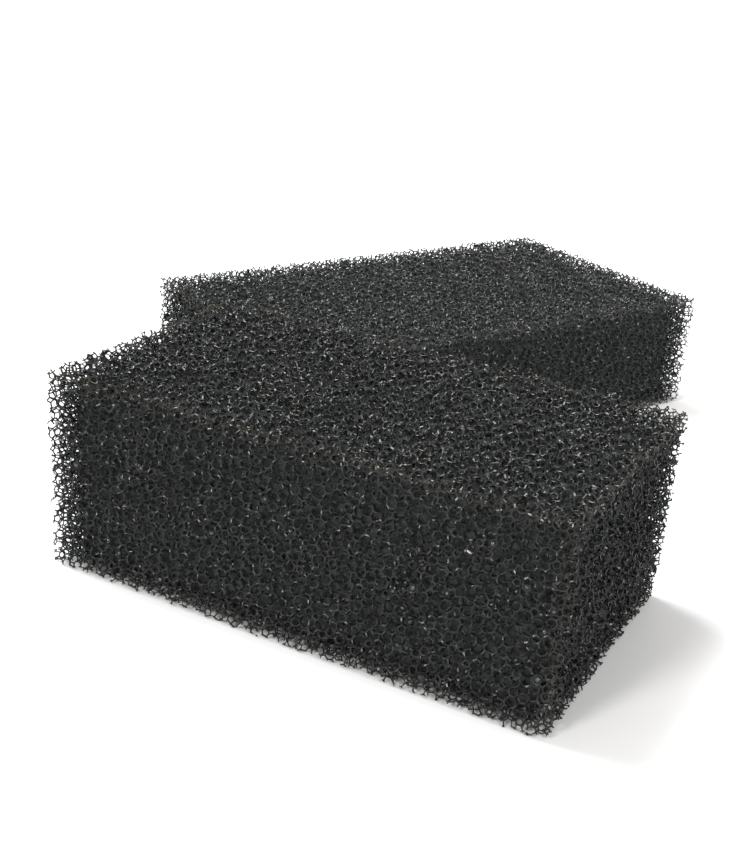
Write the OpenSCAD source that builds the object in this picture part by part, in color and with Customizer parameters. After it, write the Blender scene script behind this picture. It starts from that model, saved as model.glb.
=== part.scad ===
// Pair of reticulated filter-foam blocks for a pond or aquarium filter.
//
// Each block is one piece of open-cell foam, cut square from a thicker sheet.
// The front block lies along X with the centre of its base at the origin.
// The rear block lies flat behind it, turned about Z, and clear of it.

/* [Front block] */
// Length of the front block, along X
front_l = 120; // [80:1:200]
// Width of the front block, along Y
front_w = 68; // [40:1:100]
// Height of the front block, the thickness of its sheet
front_h = 46; // [20:1:80]

/* [Rear block] */
// Length of the rear block, along its own long side
rear_l = 146; // [80:1:200]
// Width of the rear block
rear_w = 80; // [40:1:100]
// Height of the rear block, the thickness of its sheet
rear_h = 34; // [20:1:80]

/* [Placing] */
// Turn of the rear block's long side, from the front block's long side
rear_turn = 64; // [45:0.5:80]
// Clear gap between the front block's back face and the rear block's nearest corner
gap = 1.5; // [0.5:0.5:30]
// How far along the front block that corner lies, from the front block's left end
corner_along = 23; // [0:1:60]

/* [Cut edges] */
// Width of the flat where the knife leaves each upright edge slightly blunt
edge_flat = 0.8; // [0.2:0.1:3]

/* [Hidden] */
foam_black = [0.10, 0.10, 0.11];
corner_x = corner_along - front_l / 2;
corner_y = front_w / 2 + gap;

// The outline of a cut block seen from above: a rectangle whose four corners
// are blunted by one short flat each, with its first corner at the origin.
module cut_outline(l, w) {
    f = edge_flat / sqrt(2);
    polygon([
        [f, 0], [l - f, 0], [l, f], [l, w - f],
        [l - f, w], [f, w], [0, w - f], [0, f]
    ]);
}

// A foam block standing on Z = 0, with its first corner at the origin.
module cut_block(l, w, h) {
    linear_extrude(height = h)
        cut_outline(l, w);
}

module front_block() {
    color(foam_black)
        translate([-front_l / 2, -front_w / 2, 0])
            cut_block(front_l, front_w, front_h);
}

module rear_block() {
    color(foam_black)
        translate([corner_x, corner_y, 0])
            rotate([0, 0, rear_turn])
                cut_block(rear_l, rear_w, rear_h);
}

front_block();
rear_block();
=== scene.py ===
import itertools
import math

import bmesh
import bpy
import numpy as np
from mathutils import Matrix, Vector

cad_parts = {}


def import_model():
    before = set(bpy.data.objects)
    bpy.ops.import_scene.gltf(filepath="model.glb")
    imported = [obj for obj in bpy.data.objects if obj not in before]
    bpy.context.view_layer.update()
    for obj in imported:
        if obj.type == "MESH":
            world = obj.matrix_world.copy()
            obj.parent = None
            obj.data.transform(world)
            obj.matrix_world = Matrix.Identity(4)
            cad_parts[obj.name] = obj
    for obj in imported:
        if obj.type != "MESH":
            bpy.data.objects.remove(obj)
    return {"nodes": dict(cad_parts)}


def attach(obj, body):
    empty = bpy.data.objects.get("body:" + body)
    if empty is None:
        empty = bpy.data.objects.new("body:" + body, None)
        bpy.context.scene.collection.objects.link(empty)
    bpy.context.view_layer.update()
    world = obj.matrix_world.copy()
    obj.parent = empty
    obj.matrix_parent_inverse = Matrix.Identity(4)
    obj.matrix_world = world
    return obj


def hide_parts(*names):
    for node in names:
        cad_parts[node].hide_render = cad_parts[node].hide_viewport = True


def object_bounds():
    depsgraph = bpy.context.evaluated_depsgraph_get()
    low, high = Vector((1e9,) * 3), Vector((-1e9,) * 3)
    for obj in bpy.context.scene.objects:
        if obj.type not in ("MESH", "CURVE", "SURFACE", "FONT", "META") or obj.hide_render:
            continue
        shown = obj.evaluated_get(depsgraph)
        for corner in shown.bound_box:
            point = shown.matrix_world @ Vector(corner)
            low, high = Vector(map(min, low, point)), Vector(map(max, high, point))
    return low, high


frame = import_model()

# The looks of two loose blocks of black open-cell filter foam. All lengths are in metres.
#
# Real open-cell foam is a net of struts along the edges of packed cells, and its windows
# are open. The net is made the same way here. Seeds are packed in a cube that repeats,
# the corners of their Voronoi cells are the net's nodes, and a three-sided strut runs
# along each cell edge. The net fills the outer layer of each block, round a dark core
# that stands for the depth where no light reaches.

# ---------------------------------------------------------------- sizes
CELL = 0.0022  # cube root of one cell's volume
TILE_CELLS = 343  # cells in the cube that repeats
STRUT = 0.098  # from a node to its corner points, in cells
SHELL = 0.0028  # depth of the net behind the sides and the top
SHELL_BELOW = 0.0013  # depth of the net above the base
CORE_ROUND = 0.005  # radius of the core's edges
CORE_STEP = 0.0009  # grid of the core's surface
CORE_PIT = 0.0007  # depth of the core's pits
STUB_LEAST = 0.6  # the shortest cut strut, as a share of its length up to the cut
SLABS = 10  # pieces that each block's net is split into, along the block
END_SLAB = 0.5  # the first and last slab's width, beside the others'
OUTGROWTH = 0.0006  # how far the cut struts stand out of the block's flat sides
BASE_LIFT = 0.0003  # the net's own thickness, kept off the floor
PAINTED_BACKLIGHT_DEPTH = 0.003  # how far in from the block's edges the painted backlight reaches, a warmer colour that stands for light through the thin net
FILM_SHARE = 0.05  # of the windows, those with a film left in them
FILM_DEPTH = 0.0012  # films are made down to this depth below the block's faces
FILM_DOME = 0.25  # a film's greatest rise, as a share of its radius
FILM_REACH = 0.97  # where a film's corners lie, from its middle towards the nodes
FILM_THICK = 0.00002  # half of a film's thickness at its middle
FILM_CORNERS = 6  # windows with more corners than this stay open
SEED = 1  # the first that is tried; a net whose struts don't all pair up is dropped

# ---------------------------------------------------------------- how the net is made
PACK_STEPS = 150
PACK_REACH = 1.1  # seeds closer than this push each other away, in mean distances
PACK_PUSH = 0.35  # of what they are too close by, in each step
NEAR_SEEDS = 24  # neighbours among which a cell's corners are looked for
CORNER_REACH = 0.35  # a corner is at most this far from its seeds, in cube sides
FLAT = 1e-12  # a determinant below this is that of seeds in one plane
ROUNDING = 1e-9
FAR = 9.0  # more than any squared distance in the cube, in cube sides
EVEN_STEPS = 12
SHORTEST_STRUT = 0.42  # shorter ones are pushed longer, in mean distances of seeds
EVEN_PULL = 0.05  # of each strut's length, in each step
EVEN_PUSH = 0.25  # of what a strut is too short by, in each step
THICKNESS_RANGE = (0.85, 1.2)  # of the struts at a node, as shares of STRUT
CUBE_REACH = 0.9  # from a cube's middle past its corners, in cube sides
TURN_STEP = 0.25  # degrees, for finding how a block is turned
LAYER_OVERLAP = 0.25  # how far the net reaches into the core, in cells
STUB_BASE = 0.02  # a cut strut's least length beyond its node, in cells
CUT_STEPS = 12  # halvings that find where a strut is cut
LONGEST_RING = 12  # the walk round a window stops here, whatever happens
PIT_RADIUS = 0.6  # in cells
SLANT = 1e-6  # how far an edge of the core's grid may be from straight along an axis

# How the net's cube is turned in each block, in radians about X, Y and Z.
NET_TURN = {"front_block": (0.31, 0.52, 0.73), "rear_block": (1.13, 0.41, 2.05)}

# ---------------------------------------------------------------- camera
CAMERA_AZIMUTH = 26.3  # degrees; 0 looks along +Y
CAMERA_ELEVATION = 26.6
CAMERA_ROLL = 4.8
CAMERA_LENS = 54.0  # mm, on a 36 mm sensor
CAMERA_SHIFT_UP = 0.118
CAMERA_EYE = (0.1164, -0.2286, 0.1437)

CAD_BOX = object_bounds()
NODES = ("front_block", "rear_block")
FLOOR_Z = CAD_BOX[0].z
FLOOR_EDGE = 30.0  # half the floor's side, so that its end shows in no view


# ================================================================ the foam's cells
def packed_seeds(rng):
    """Seeds spread evenly but without order in the unit cube, which repeats."""
    seeds = rng.random((TILE_CELLS, 3))
    reach = PACK_REACH * TILE_CELLS ** (-1 / 3)
    for _ in range(PACK_STEPS):
        gap = seeds[:, None] - seeds[None]
        gap -= np.round(gap)
        far = np.sqrt((gap**2).sum(2)) + np.eye(TILE_CELLS)
        push = gap / far[..., None] * np.clip(reach - far, 0, None)[..., None]
        seeds = (seeds + PACK_PUSH * push.sum(1)) % 1.0
    return seeds


def cell_corners(seeds):
    """The Voronoi cells' corners: their places, and for each corner the four cells that
    meet there, as rows of seed index and whole-cube offset."""
    gap = seeds[None] - seeds[:, None]
    gap -= np.round(gap)
    far = (gap**2).sum(2)
    np.fill_diagonal(far, FAR)
    near = np.argsort(far, axis=1)[:, :NEAR_SEEDS]
    triples = np.array(list(itertools.combinations(range(NEAR_SEEDS), 3)))
    places, cells = [], []
    for i, own in enumerate(seeds):
        others = gap[i, near[i]]
        rows = others[triples]
        solid = np.abs(np.linalg.det(rows)) > FLAT
        rows, names = rows[solid], near[i][triples[solid]]
        centre = np.linalg.solve(rows, ((rows**2).sum(2) / 2)[..., None])[..., 0]
        radius = (centre**2).sum(1)
        known = (radius < CORNER_REACH**2) & (names > i).all(1)
        centre, radius, names = centre[known], radius[known], names[known]
        away = ((centre[:, None] - others[None]) ** 2).sum(2)
        empty = (away >= radius[:, None] * (1 - ROUNDING)).all(1)
        for place, three in zip(own + centre[empty], names[empty]):
            four = [i, *three]
            offset = np.round(place - seeds[four]).astype(int)
            places.append(place)
            cells.append(np.column_stack([four, offset]))
    return np.array(places), np.array(cells)


def joined(cells):
    """Pairs up the ends of the struts. At each node there are four cells, and each strut
    borders three of them and leaves one out, which numbers the strut. Returns, for each
    node and strut, the node at the other end, its whole-cube offset, and for each of the
    node's cells which cell of the other node it is. Struts that found no other end are
    left in waiting: two corners in nearly one place can cause that."""
    count = len(cells)
    mate = np.zeros((count, 4), int)
    offset = np.zeros((count, 4, 3), int)
    same = np.zeros((count, 4, 4), int)
    waiting = {}
    for v, out in itertools.product(range(count), range(4)):
        three = [k for k in range(4) if k != out]
        three.sort(key=lambda k: tuple(cells[v, k]))
        base = cells[v, three[0], 1:]
        name = tuple(cells[v, three, 0]) + tuple((cells[v, three, 1:] - base).ravel())
        if name not in waiting:
            waiting[name] = (v, out, three, base)
            continue
        w, w_out, w_three, w_base = waiting.pop(name)
        mate[v, out], offset[v, out] = w, base - w_base
        mate[w, w_out], offset[w, w_out] = v, w_base - base
        same[v, out, three] = w_three
        same[w, w_out, w_three] = three
    return mate, offset, same, waiting


def evened(places, mate, offset):
    """The nodes moved so that no strut is very short, as surface tension does in foam."""
    want = SHORTEST_STRUT * TILE_CELLS ** (-1 / 3)
    for _ in range(EVEN_STEPS):
        run = places[mate] + offset - places[:, None]
        long = np.linalg.norm(run, axis=2, keepdims=True)
        push = EVEN_PUSH * run / long * np.clip(want - long, 0, None)
        places = places + (EVEN_PULL * run - push).sum(1)
    return places


# ================================================================ the net of struts
PAIRS = list(itertools.combinations(range(4), 2))  # at a node, the cells on each face
PAIR = np.zeros((4, 4), int)
for row, (first, second) in enumerate(PAIRS):
    PAIR[first, second] = PAIR[second, first] = row


class Net:
    """The cube's nodes and struts, and what is needed to lay them out in a block."""

    def __init__(self):
        for seed in itertools.count(SEED):
            rng = np.random.default_rng(seed)
            self.seeds = packed_seeds(rng)
            places, cells = cell_corners(self.seeds)
            self.mate, self.offset, self.same, waiting = joined(cells)
            if not waiting:
                break
        around = self.seeds[cells[..., 0]] + cells[..., 1:]
        # Whether a node's four cells lie in right-handed order.
        self.hand = np.linalg.det(around[:, 1:] - around[:, :1]) > 0
        self.places = evened(places, self.mate, self.offset)
        self.side = CELL * TILE_CELLS ** (1 / 3)
        self.thick = rng.uniform(*THICKNESS_RANGE, len(places)) * STRUT * CELL
        self.corner = self.corner_directions()

    def corner_directions(self):
        """From each node, the unit direction into each of its six faces, which is
        midway between the two struts that border the face."""
        run = self.places[self.mate] + self.offset - self.places[:, None]
        run /= np.linalg.norm(run, axis=2, keepdims=True)
        corner = np.zeros((len(run), 6, 3))
        for row, pair in enumerate(PAIRS):
            one, two = [k for k in range(4) if k not in pair]
            corner[:, row] = run[:, one] + run[:, two]
        return corner / np.linalg.norm(corner, axis=2, keepdims=True)


def turned(angles):
    """The rotation matrix for angles about X, Y and then Z."""
    matrix = np.eye(3)
    for axis, angle in enumerate(angles):
        one, two = [k for k in range(3) if k != axis]
        step = np.eye(3)
        step[one, one] = step[two, two] = math.cos(angle)
        step[one, two], step[two, one] = -math.sin(angle), math.sin(angle)
        matrix = step @ matrix
    return matrix


class Block:
    """One foam block: its own axes, its half sizes, and the tests for its outer layer.
    Points are in the block's own axes, from the middle of the block."""

    def __init__(self, name):
        self.name = name
        mesh = frame["nodes"][name].data
        points = np.array([v.co for v in mesh.vertices])
        low, high = points.min(0), points.max(0)
        self.middle = (low + high) / 2
        self.turn = self.long_side(points[:, :2] - self.middle[:2])
        flat = (points - self.middle) @ self.axes()
        self.half = np.abs(flat).max(0)
        self.core_half = self.half - SHELL
        self.core_half[2] = self.half[2] - (SHELL + SHELL_BELOW) / 2
        self.core_lift = (SHELL_BELOW - SHELL) / 2

    def long_side(self, points):
        """The angle of the outline's longer sides from +X, where its box is smallest."""
        angles = np.radians(np.arange(0, 180, TURN_STEP))
        turn = np.exp(-1j * angles)[:, None]
        flat = (points[:, 0] + 1j * points[:, 1]) * turn
        along, across = np.ptp(flat.real, axis=1), np.ptp(flat.imag, axis=1)
        area = np.where(along > across, along * across, np.inf)
        return angles[area.argmin()]

    def axes(self):
        """The block's own axes, as the columns of a matrix."""
        c, s = math.cos(self.turn), math.sin(self.turn)
        return np.array([[c, -s, 0], [s, c, 0], [0, 0, 1]])

    def placed(self, points):
        """Points moved from the block's own axes to the CAD frame."""
        return points @ self.axes().T + self.middle

    def to_core(self, points):
        """The distance from the core's rounded surface, less than 0 inside it."""
        inner = np.abs(points - [0, 0, self.core_lift]) - (self.core_half - CORE_ROUND)
        outside = np.linalg.norm(np.clip(inner, 0, None), axis=-1)
        return outside + np.clip(inner.max(-1), None, 0) - CORE_ROUND

    def in_block(self, points):
        """Whether the points are inside the limits of the block's net."""
        base = points[..., 2] > BASE_LIFT - self.half[2]
        return base & (np.abs(points) < self.half + OUTGROWTH).all(-1)

    def depth(self, points):
        """The distance below the block's nearest face."""
        return (self.half - np.abs(points)).min(-1)

    # Painted backlight: this mask says where the warmer colour goes, standing for light through
    # the thin net at the edges.
    def painted_backlight_edge(self, points):
        """1 along the block's edges and 0 from PAINTED_BACKLIGHT_DEPTH inwards."""
        depth = np.sort(self.half + OUTGROWTH - np.abs(points), axis=-1)[..., 1]
        return np.clip(1 - depth / PAINTED_BACKLIGHT_DEPTH, 0, 1)

    def in_layer(self, points):
        """Whether the points are in the block's outer layer, which the net fills."""
        return self.in_block(points) & (self.to_core(points) > -LAYER_OVERLAP * CELL)


def faced(mesh, triangles, quads):
    """Gives a mesh that has only points its faces."""
    mesh.loops.add(triangles.size + quads.size)
    loops = np.concatenate([triangles.ravel(), quads.ravel()])
    mesh.loops.foreach_set("vertex_index", loops.astype(np.int32))
    of_triangles = np.arange(len(triangles)) * 3
    of_quads = triangles.size + np.arange(len(quads)) * 4
    starts = np.concatenate([of_triangles, of_quads])
    mesh.polygons.add(len(starts))
    mesh.polygons.foreach_set("loop_start", starts.astype(np.int32))


def new_piece(name, points, triangles, quads, smooth):
    """A new mesh object in the scene."""
    mesh = bpy.data.meshes.new(name)
    mesh.vertices.add(len(points))
    mesh.vertices.foreach_set("co", points.astype(np.float32).ravel())
    faced(mesh, triangles, quads)
    mesh.update(calc_edges=True)
    mesh.polygons.foreach_set("use_smooth", np.full(len(mesh.polygons), smooth))
    piece = bpy.data.objects.new(name, mesh)
    bpy.context.scene.collection.objects.link(piece)
    return piece


def cubes_round(net, block):
    """The repeating cubes that could touch the block, however they're turned, and how
    many of them there are from the middle to a side."""
    reach = int(np.ceil(np.linalg.norm(block.half) / net.side)) + 1
    return np.array(list(itertools.product(range(-reach, reach + 1), repeat=3))), reach


def laid_nodes(net, block, keep):
    """The net's nodes that lie where keep says: their index, place, struts' far ends, own
    code and the codes of the nodes at those ends. A code names a node and its cube."""
    matrix = turned(NET_TURN[block.name])
    cubes, reach = cubes_round(net, block)
    middles = (cubes + 0.5) * net.side @ matrix.T
    near = (np.abs(middles) < block.half + CUBE_REACH * net.side).all(1)
    cubes = cubes[near]
    places = (net.places[None] + cubes[:, None]) * net.side @ matrix.T
    cube, node = np.nonzero(keep(places))
    base = cubes[cube]
    ends = (net.places[net.mate[node]] + net.offset[node] + base[:, None]) * net.side
    margin = 3  # a strut may end in a cube beyond those of cubes_round
    width = 2 * (reach + margin) + 1

    def code(cube, node):
        spread = cube + reach + margin
        flat = (spread[..., 0] * width + spread[..., 1]) * width + spread[..., 2]
        return flat * len(net.places) + node

    own = code(base, node)
    other = code(base[:, None] + net.offset[node], net.mate[node])
    return node, places[cube, node], ends @ matrix.T, own, other, matrix


def matched(own, other):
    """For each strut, the node at its far end, and whether that node was kept. If not,
    the node is any."""
    order = np.argsort(own)
    found = order[np.clip(np.searchsorted(own[order], other), 0, len(own) - 1)]
    return found, own[found] == other


def cut_share(start, run, keep):
    """How far along each strut its place leaves the kept part, from 0 to 1."""
    low, high = np.zeros(len(start)), np.ones(len(start))
    for _ in range(CUT_STEPS):
        middle = (low + high) / 2
        inside = keep(start + run * middle[:, None])
        low, high = np.where(inside, middle, low), np.where(inside, high, middle)
    return low


def net_mesh(net, block, keep, rng):
    """The net's struts where keep says: points, triangles and quads. Each node has six
    corner points, one for each pair of its cells, and a strut is the tube between two
    nodes' rings of three. A strut that leaves the kept part ends there in a small flat
    face, so that the mesh is closed."""
    node, place, ends, own, other, matrix = laid_nodes(net, block, keep)
    corner = (net.corner[node] @ matrix.T) * net.thick[node][:, None, None]
    corner += place[:, None]
    found, whole = matched(own, other)
    first = np.arange(len(node)) * 6
    points, triangles, quads = [corner.reshape(-1, 3)], [], []
    made = len(node) * 6
    for k in range(4):
        rest = [c for c in range(4) if c != k]
        flip = net.hand[node] ^ bool(k % 2)
        # The node's own small face that looks into cell k.
        face = np.stack([first + PAIR[k, c] for c in rest], 1)
        triangles.append(wound(face, flip))
        # The strut that leaves out cell k, once from one of its ends.
        sides = [(rest[0], rest[1]), (rest[1], rest[2]), (rest[2], rest[0])]
        mine = ring_of(first, sides)
        far = far_ring(net.same[node, k], found[:, k] * 6, sides)
        once = whole[:, k] & (found[:, k] * 6 > first)
        quads += tube(mine[once], far[once], flip[once])
        # Struts that are cut off.
        cut = ~whole[:, k]
        run = ends[cut, k] - place[cut]
        tips = cut_tips(block, place[cut], run, corner[cut], sides, keep, rng)
        names = made + np.arange(len(tips) * 3).reshape(-1, 3)
        made += len(tips) * 3
        points.append(tips.reshape(-1, 3))
        quads += tube(mine[cut], names, flip[cut])
        triangles.append(wound(names, ~flip[cut]))
    return np.concatenate(points), np.concatenate(triangles), np.concatenate(quads)


def ring_of(first, sides):
    """The three corner points of each node that a strut starts from. first is the index
    of a node's first corner point, and sides are the strut's three pairs of cells."""
    return np.stack([first + PAIR[a, b] for a, b in sides], 1)


def far_ring(same, first, sides):
    """The corner points of the node at each strut's far end, in the order of ring_of."""
    return np.stack([first + PAIR[same[:, a], same[:, b]] for a, b in sides], 1)


def wound(faces, flip):
    """The faces with the order of their points turned round where flip says."""
    return np.where(flip[:, None], faces[:, ::-1], faces)


def tube(near, far, flip):
    """The three quads between two rings of three points."""
    return [
        wound(np.stack([near[:, j], far[:, j], far[:, i], near[:, i]], 1), flip)
        for j, i in ((0, 1), (1, 2), (2, 0))
    ]


def cut_tips(block, place, run, corner, sides, keep, rng):
    """The three end points of each cut strut. Those that leave the block are torn off
    somewhat short of its face."""
    share = cut_share(place, run, keep)
    outer = ~block.in_block(place + run)
    torn = rng.uniform(STUB_LEAST, 1, len(share))
    share = np.where(outer, share * torn, share)
    long = np.linalg.norm(run, axis=1)
    unit = run / long[:, None]
    ring = corner[:, [PAIR[a, b] for a, b in sides]] - place[:, None]
    along = (ring * unit[:, None]).sum(2, keepdims=True)
    across = ring - along * unit[:, None]
    tip = np.maximum(share * long, along[:, :, 0].max(1) + STUB_BASE * CELL)
    return place[:, None] + unit[:, None] * tip[:, None, None] + across


# ================================================================ films
def windows(net):
    """The cells' faces, each as the list of its nodes in order, with their whole-cube
    offsets from the first node."""
    seen = set()
    rings = []
    for v, (a, b) in itertools.product(range(len(net.places)), PAIRS):
        if (v, a, b) in seen:
            continue
        ring = [(v, (0, 0, 0))]
        at, shift, one, two = v, np.zeros(3, int), a, b
        out = [k for k in range(4) if k not in (a, b)][0]
        while len(ring) < LONGEST_RING:
            seen.add((at, min(one, two), max(one, two)))
            turn = net.same[at, out]
            shift = shift + net.offset[at, out]
            third = [k for k in range(4) if k not in (one, two, out)][0]
            at, one, two, out = net.mate[at, out], turn[one], turn[two], turn[third]
            if at == v and not shift.any():
                break
            ring.append((at, tuple(shift)))
        rings.append(ring)
    return rings


def film_piece(net, block, material):
    """Thin domed films left in a few of the net's windows. They catch the light."""
    rng = np.random.default_rng(SEED + 2)
    matrix = turned(NET_TURN[block.name])
    cubes, _ = cubes_round(net, block)
    points, faces = [], []
    for ring in windows(net):
        if len(ring) > FILM_CORNERS:
            continue
        names = [v for v, _ in ring]
        local = (net.places[names] + [shift for _, shift in ring]) * net.side
        chosen = cubes[rng.random(len(cubes)) < FILM_SHARE]
        laid = (local[None] + chosen[:, None] * net.side) @ matrix.T
        middle = laid.mean(1)
        shown = block.in_layer(laid).all(1) & (block.depth(middle) < FILM_DEPTH)
        for corners, centre in zip(laid[shown], middle[shown]):
            add_film(points, faces, corners, centre, rng)
    no_quads = np.zeros((0, 4), int)
    points = block.placed(np.array(points))
    piece = new_piece(f"{block.name}_films", points, np.array(faces), no_quads, True)
    piece.data.materials.append(material)
    return piece


def add_film(points, faces, corners, centre, rng):
    """A film over one window, as a closed shell that is thickest at its middle."""
    first = len(points)
    count = len(corners)
    across = np.cross(corners[0] - centre, corners[1] - centre)
    across /= np.linalg.norm(across)
    width = np.linalg.norm(corners - centre, axis=1).mean()
    dome = rng.uniform(-FILM_DOME, FILM_DOME) * width
    points.extend(centre + (corners - centre) * FILM_REACH)
    points.append(centre + across * (dome + FILM_THICK))
    points.append(centre + across * (dome - FILM_THICK))
    for j in range(count):
        near, far = first + j, first + (j + 1) % count
        faces.append((near, far, first + count))
        faces.append((far, near, first + count + 1))


# ================================================================ materials
# Colours are linear. In each material a noise runs from the dark one to the grey one.
FOAM_DARK = (0.010, 0.0108, 0.0105)
FOAM_GREY = (0.021, 0.0222, 0.0218)
# Painted backlight: a warmer colour put along the blocks' edges, standing for light coming
# through the thin net.
FOAM_PAINTED_BACKLIGHT = (0.0215, 0.0187, 0.0140)
# The core's colours: the box stands in for the deeper struts and the shade among them, and its
# grey, lighter than the struts', paints in haze over the dark pores.
PAINTED_DEPTH_DARK = (0.028, 0.030, 0.029)
PAINTED_DEPTH_GREY = (0.052, 0.055, 0.054)
FILM_DARK = (0.020, 0.021, 0.021)
FILM_GREY = (0.040, 0.042, 0.042)
STRUT_ROUGHNESS = (0.2, 0.3)  # the smoothest and the roughest
CORE_ROUGHNESS = (0.7, 0.9)
FILM_ROUGHNESS = (0.08, 0.16)
STRUT_GLOSS = 0.2
CORE_GLOSS = 0.1
FILM_GLOSS = 0.6
SPOTS_PER_METRE = 500
SPOT_DETAIL = 3
SPOT_RANGE = (0.3, 0.7)  # the noise's values between which colour and roughness change

# What each block's colours are multiplied by. The rear block's are lifted and cooled, as in the
# photo: painted haze and light, which make it look paler.
PAINTED_HAZE_LIFT = {"front_block": (1.0, 1.0, 1.0), "rear_block": (1.4, 1.45, 1.5)}


def node_at(tree, kind, **values):
    """A new node, with its settings."""
    made = tree.nodes.new(kind)
    for key, value in values.items():
        setattr(made, key, value)
    return made


def plain_shader(name, colour, roughness, specular):
    """A new material and its shader."""
    material = bpy.data.materials.new(name)
    material.use_nodes = True
    shader = material.node_tree.nodes["Principled BSDF"]
    shader.inputs["Base Color"].default_value = (*colour, 1)
    shader.inputs["Roughness"].default_value = roughness
    shader.inputs["Specular IOR Level"].default_value = specular
    return material, shader


def spotted(material, shader, dark, grey, roughness):
    """Drives a material's colour and roughness with one noise, from dark and rough to
    grey and smooth. Returns the colour's output, which isn't linked yet."""
    tree = material.node_tree
    place = node_at(tree, "ShaderNodeTexCoord")
    noise = node_at(tree, "ShaderNodeTexNoise")
    noise.inputs["Scale"].default_value = SPOTS_PER_METRE
    noise.inputs["Detail"].default_value = SPOT_DETAIL
    ramp = node_at(tree, "ShaderNodeValToRGB")
    ramp.color_ramp.elements[0].position = SPOT_RANGE[0]
    ramp.color_ramp.elements[0].color = (*dark, 1)
    ramp.color_ramp.elements[1].position = SPOT_RANGE[1]
    ramp.color_ramp.elements[1].color = (*grey, 1)
    rough = node_at(tree, "ShaderNodeMapRange")
    rough.inputs["From Min"].default_value = SPOT_RANGE[0]
    rough.inputs["From Max"].default_value = SPOT_RANGE[1]
    rough.inputs["To Min"].default_value = roughness[1]
    rough.inputs["To Max"].default_value = roughness[0]
    tree.links.new(place.outputs["Object"], noise.inputs["Vector"])
    tree.links.new(noise.outputs["Fac"], ramp.inputs["Fac"])
    tree.links.new(noise.outputs["Fac"], rough.inputs["Value"])
    tree.links.new(rough.outputs["Result"], shader.inputs["Roughness"])
    return ramp.outputs["Color"]


def foam_material(block_name):
    """Black polyurethane struts with a soft gloss. Their grey varies, and along the block's
    edges it is painted warmer: painted backlight, standing for light through the thin net."""
    # On the rear block the colours are lifted here: painted haze and light.
    dark, grey, painted_backlight_grey = np.array([FOAM_DARK, FOAM_GREY, FOAM_PAINTED_BACKLIGHT]) * PAINTED_HAZE_LIFT[block_name]
    name = f"{block_name}_foam"
    material, shader = plain_shader(name, dark, STRUT_ROUGHNESS[1], STRUT_GLOSS)
    colour = spotted(material, shader, dark, grey, STRUT_ROUGHNESS)
    tree = material.node_tree
    # Painted backlight: towards the edges the colour is mixed to a warmer one, standing for
    # light through the thin net.
    edge = node_at(tree, "ShaderNodeAttribute", attribute_name="painted_backlight_edge")
    painted_backlight_mix = node_at(tree, "ShaderNodeMix", data_type="RGBA")
    colour_socket(painted_backlight_mix, "B").default_value = (*painted_backlight_grey, 1)
    tree.links.new(edge.outputs["Fac"], painted_backlight_mix.inputs["Factor"])
    tree.links.new(colour, colour_socket(painted_backlight_mix, "A"))
    tree.links.new(colour_result(painted_backlight_mix), shader.inputs["Base Color"])
    return material


def colour_socket(mix, name):
    """The colour input of a Mix node, which has one input of each name per type."""
    return next(s for s in mix.inputs if s.name == name and s.type == "RGBA")


def colour_result(mix):
    """The colour output of a Mix node."""
    return next(s for s in mix.outputs if s.type == "RGBA")


def spotted_material(block_name, name, dark, grey, roughness, gloss):
    """A material for a block's films or core, in that block's colours, which on the rear block
    are lifted as painted haze and light.
    """
    dark, grey = np.array([dark, grey]) * PAINTED_HAZE_LIFT[block_name]
    name = f"{block_name}_{name}"
    material, shader = plain_shader(name, dark, roughness[1], gloss)
    colour = spotted(material, shader, dark, grey, roughness)
    material.node_tree.links.new(colour, shader.inputs["Base Color"])
    return material


# ================================================================ pieces
def net_pieces(net, block, material):
    """The block's net of struts, in slabs along its length."""
    rng = np.random.default_rng(SEED + 1)
    widths = np.array([END_SLAB] + [1] * (SLABS - 2) + [END_SLAB])
    ends = np.concatenate([[0], np.cumsum(widths) / widths.sum()])
    ends = (2 * ends - 1) * (block.half[0] + 2 * OUTGROWTH)
    pieces = []
    for i, (low, high) in enumerate(itertools.pairwise(ends)):

        def keep(points, low=low, high=high):
            along = points[..., 0]
            return block.in_layer(points) & (along >= low) & (along < high)

        points, triangles, quads = net_mesh(net, block, keep, rng)
        name = f"{block.name}_struts_{i + 1}"
        piece = new_piece(name, block.placed(points), triangles, quads, False)
        piece.data.materials.append(material)
        # The mask of the painted backlight along the block's edges.
        edge = piece.data.attributes.new("painted_backlight_edge", "FLOAT", "POINT")
        edge.data.foreach_set("value", block.painted_backlight_edge(points).astype(np.float32))
        pieces.append(piece)
    return pieces


def core_grid(block):
    """A box of the size 2 by 2 by 2, its faces cut into a grid about CORE_STEP wide on
    the block's core."""
    mesh = bmesh.new()
    bmesh.ops.create_cube(mesh, size=2)
    for axis in range(3):
        edges = [e for e in mesh.edges if lies_along(e, axis)]
        cuts = max(2, round(2 * block.core_half[axis] / CORE_STEP)) - 1
        bmesh.ops.subdivide_edges(mesh, edges=edges, cuts=cuts, use_grid_fill=True)
    return mesh


def core_piece(net, block, material):
    """The dark inside: a rounded box, pitted where each cell lies. It stands in for the deeper
    struts and is partly painted shade for the depth where no light reaches, greyer than the
    struts to paint in haze over the pores.
    """
    mesh = core_grid(block)
    points = np.array([v.co for v in mesh.verts]) * block.core_half
    inner = block.core_half - CORE_ROUND
    nearest = np.clip(points, -inner, inner)
    out = points - nearest
    out /= np.linalg.norm(out, axis=1, keepdims=True)
    points = nearest + out * CORE_ROUND + [0, 0, block.core_lift]
    points -= out * (CORE_PIT * pits(net, block, points))[:, None]
    for vertex, place in zip(mesh.verts, block.placed(points)):
        vertex.co = place
    data = bpy.data.meshes.new(f"{block.name}_depth")
    mesh.to_mesh(data)
    mesh.free()
    data.polygons.foreach_set("use_smooth", np.ones(len(data.polygons), bool))
    piece = bpy.data.objects.new(data.name, data)
    bpy.context.scene.collection.objects.link(piece)
    data.materials.append(material)
    return piece


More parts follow.
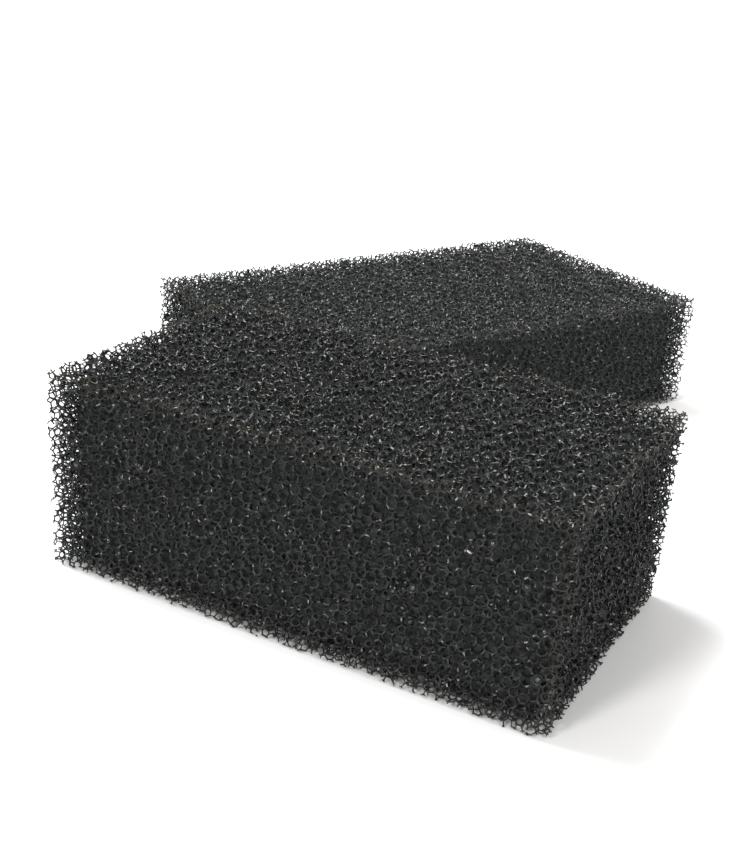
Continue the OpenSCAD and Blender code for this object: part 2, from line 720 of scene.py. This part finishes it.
def lies_along(edge, axis):
    """Whether an edge runs along X, Y or Z, which are numbered 0, 1 and 2."""
    run = edge.verts[1].co - edge.verts[0].co
    return abs(run[axis]) > SLANT and run.length - abs(run[axis]) < SLANT


def pits(net, block, points):
    """1 at a cell's middle and 0 at its edges, for each point."""
    matrix = turned(NET_TURN[block.name])
    local = points @ matrix / net.side
    nearest = np.full(len(points), FAR)
    for seed in net.seeds:
        gap = local - seed
        gap -= np.round(gap)
        nearest = np.minimum(nearest, (gap**2).sum(1))
    cells_away = np.sqrt(nearest) * net.side / CELL
    return np.clip(1 - cells_away / PIT_RADIUS, 0, 1)


# ================================================================ stage
FLOOR_GREY = (0.6, 0.6, 0.6)
FLOOR_ROUGHNESS = 0.9
FLOOR_GLOSS = 0.1
WORLD_STRENGTH = 1.0


def stage():
    """The floor."""
    mesh = bpy.data.meshes.new("floor")
    corners = [(-1, -1), (1, -1), (1, 1), (-1, 1)]
    points = [(x * FLOOR_EDGE, y * FLOOR_EDGE, FLOOR_Z) for x, y in corners]
    mesh.from_pydata(points, [], [(0, 1, 2, 3)])
    floor = bpy.data.objects.new("floor", mesh)
    bpy.context.scene.collection.objects.link(floor)
    material, _ = plain_shader("floor_white", FLOOR_GREY, FLOOR_ROUGHNESS, FLOOR_GLOSS)
    mesh.materials.append(material)


def lamp(name, azimuth, elevation, wide, strength, colour):
    """A far, soft lamp. wide is its angle as seen from the object, in degrees."""
    data = bpy.data.lights.new(name, "SUN")
    data.angle = math.radians(wide)
    data.energy = strength
    data.color = colour
    made = bpy.data.objects.new(name, data)
    bpy.context.scene.collection.objects.link(made)
    away = Vector(toward(azimuth, elevation))
    made.rotation_euler = away.to_track_quat("Z", "Y").to_euler()


def toward(azimuth, elevation):
    """The unit vector from the object to something at these angles in degrees. At 0
    degrees of azimuth it stands in front, on the -Y side, and at 90 on the +X side."""
    a, e = math.radians(azimuth), math.radians(elevation)
    return np.array([math.sin(a) * math.cos(e), -math.cos(a) * math.cos(e), math.sin(e)])


def world():
    """Even white light from all round."""
    made = bpy.data.worlds.new("studio")
    made.use_nodes = True
    background = made.node_tree.nodes["Background"]
    background.inputs["Color"].default_value = (1, 1, 1, 1)
    background.inputs["Strength"].default_value = WORLD_STRENGTH
    bpy.context.scene.world = made


def camera():
    """The camera, at the photograph's viewing angle."""
    data = bpy.data.cameras.new("camera")
    data.lens = CAMERA_LENS
    data.shift_y = CAMERA_SHIFT_UP
    made = bpy.data.objects.new("camera", data)
    bpy.context.scene.collection.objects.link(made)
    azimuth, roll = math.radians(CAMERA_AZIMUTH), math.radians(CAMERA_ROLL)
    back = toward(CAMERA_AZIMUTH, CAMERA_ELEVATION)
    right = np.array([math.cos(azimuth), math.sin(azimuth), 0])
    up = np.cross(back, right)
    side = math.cos(roll) * right + math.sin(roll) * up
    top = math.cos(roll) * up - math.sin(roll) * right
    matrix = np.eye(4)
    matrix[:3] = np.column_stack([side, top, back, CAMERA_EYE])
    made.matrix_world = Matrix(matrix.tolist())
    bpy.context.scene.camera = made


camera()
stage()
world()
lamp("key", azimuth=-98, elevation=58, wide=24, strength=4.0, colour=(0.92, 0.97, 1.0))
lamp("front_window", azimuth=-20, elevation=40, wide=12, strength=2.1, colour=(1.0, 0.98, 0.96))
lamp("right_window", azimuth=56, elevation=35, wide=12, strength=1.5, colour=(1.0, 0.99, 0.97))
lamp("rim", azimuth=200, elevation=9, wide=30, strength=1.1, colour=(1.0, 0.84, 0.6))
bpy.context.scene.view_settings.view_transform = "Standard"

net = Net()
for name in NODES:
    struts = foam_material(name)
    # The core's material: partly painted shade for the unlit depth, with painted haze.
    depth = spotted_material(
        name, "depth", PAINTED_DEPTH_DARK, PAINTED_DEPTH_GREY, CORE_ROUGHNESS, CORE_GLOSS
    )
    film = spotted_material(
        name, "films", FILM_DARK, FILM_GREY, FILM_ROUGHNESS, FILM_GLOSS
    )
    block = Block(name)
    made = net_pieces(net, block, struts)
    made.append(core_piece(net, block, depth))
    made.append(film_piece(net, block, film))
    for piece in made:
        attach(piece, name)
        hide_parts(name)
